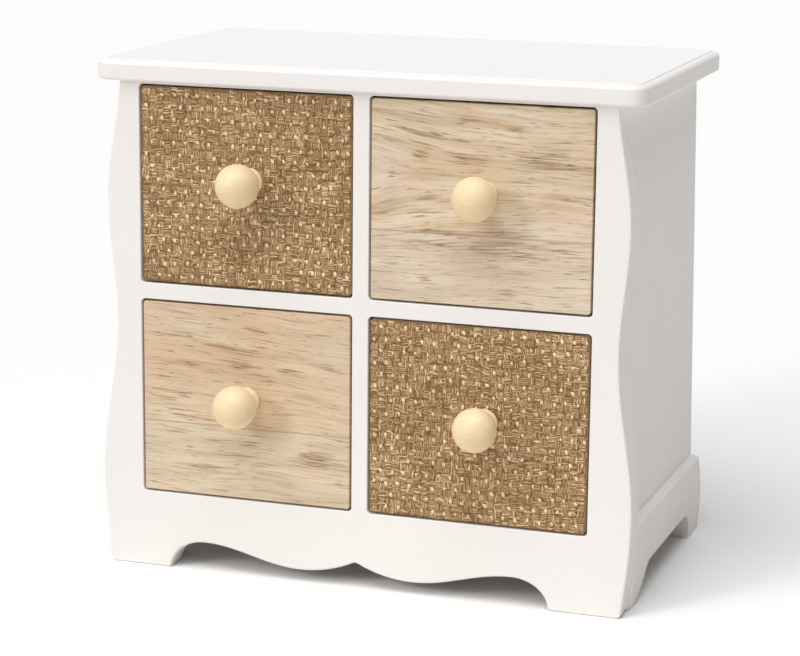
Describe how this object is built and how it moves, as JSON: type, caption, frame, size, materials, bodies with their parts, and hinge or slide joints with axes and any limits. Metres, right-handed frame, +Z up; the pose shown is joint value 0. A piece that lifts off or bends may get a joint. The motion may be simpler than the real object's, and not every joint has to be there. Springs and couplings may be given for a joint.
{
  "type": "desktop mini drawers",
  "caption": "Small white lacquered desktop chest with curved sides, a scalloped apron and inset drawers with plain wood or woven fronts and round wooden knobs.",
  "frame": {"origin": "on the floor, below the middle of the whole chest's box, its knobs included", "axes": "+X to the right as seen from the front, +Y to the back, +Z up; the drawers open towards -Y"},
  "size_m": [0.25, 0.1706, 0.2305],
  "materials": {
    "white_lacquer": "white satin lacquer over fibreboard",
    "plywood": "bare sanded plywood and beech",
    "front_wood": "oiled light wood with dark streaks",
    "knob_wood": "clear satin lacquer on pale wood",
    "weave": "close plaited plant fibre with pale specks",
    "steel": "zinc plated"
  },
  "bodies": {
    "case": {"top_board": "white_lacquer", "face_frame": "white_lacquer", "left_side_panel": "white_lacquer", "right_side_panel": "white_lacquer", "left_plinth": "white_lacquer", "right_plinth": "white_lacquer", "shelf": "white_lacquer", "divider": "white_lacquer", "floor_board": "white_lacquer", "back_panel": "white_lacquer", "back_brads": "steel", "top_dowels": "plywood", "face_dowels": "plywood"},
    "upper_left_drawer": {"upper_left_front": "front_wood", "upper_left_side_left": "plywood", "upper_left_side_right": "plywood", "upper_left_back": "plywood", "upper_left_bottom": "plywood", "upper_left_knob": "knob_wood", "upper_left_knob_screw": "steel", "upper_left_woven_cover": "weave"},
    "upper_right_drawer": {"upper_right_front": "front_wood", "upper_right_side_left": "plywood", "upper_right_side_right": "plywood", "upper_right_back": "plywood", "upper_right_bottom": "plywood", "upper_right_knob": "knob_wood", "upper_right_knob_screw": "steel"},
    "lower_left_drawer": {"lower_left_front": "front_wood", "lower_left_side_left": "plywood", "lower_left_side_right": "plywood", "lower_left_back": "plywood", "lower_left_bottom": "plywood", "lower_left_knob": "knob_wood", "lower_left_knob_screw": "steel"},
    "lower_right_drawer": {"lower_right_front": "front_wood", "lower_right_side_left": "plywood", "lower_right_side_right": "plywood", "lower_right_back": "plywood", "lower_right_bottom": "plywood", "lower_right_knob": "knob_wood", "lower_right_knob_screw": "steel", "lower_right_woven_cover": "weave"}
  },
  "joints": [
    {"name": "upper_left_slide", "type": "slide", "parent": "case", "child": "upper_left_drawer", "axis": [0, -1, 0], "range_m": [0, 0.1]},
    {"name": "upper_right_slide", "type": "slide", "parent": "case", "child": "upper_right_drawer", "axis": [0, -1, 0], "range_m": [0, 0.1]},
    {"name": "lower_left_slide", "type": "slide", "parent": "case", "child": "lower_left_drawer", "axis": [0, -1, 0], "range_m": [0, 0.1]},
    {"name": "lower_right_slide", "type": "slide", "parent": "case", "child": "lower_right_drawer", "axis": [0, -1, 0], "range_m": [0, 0.1]}
  ]
}
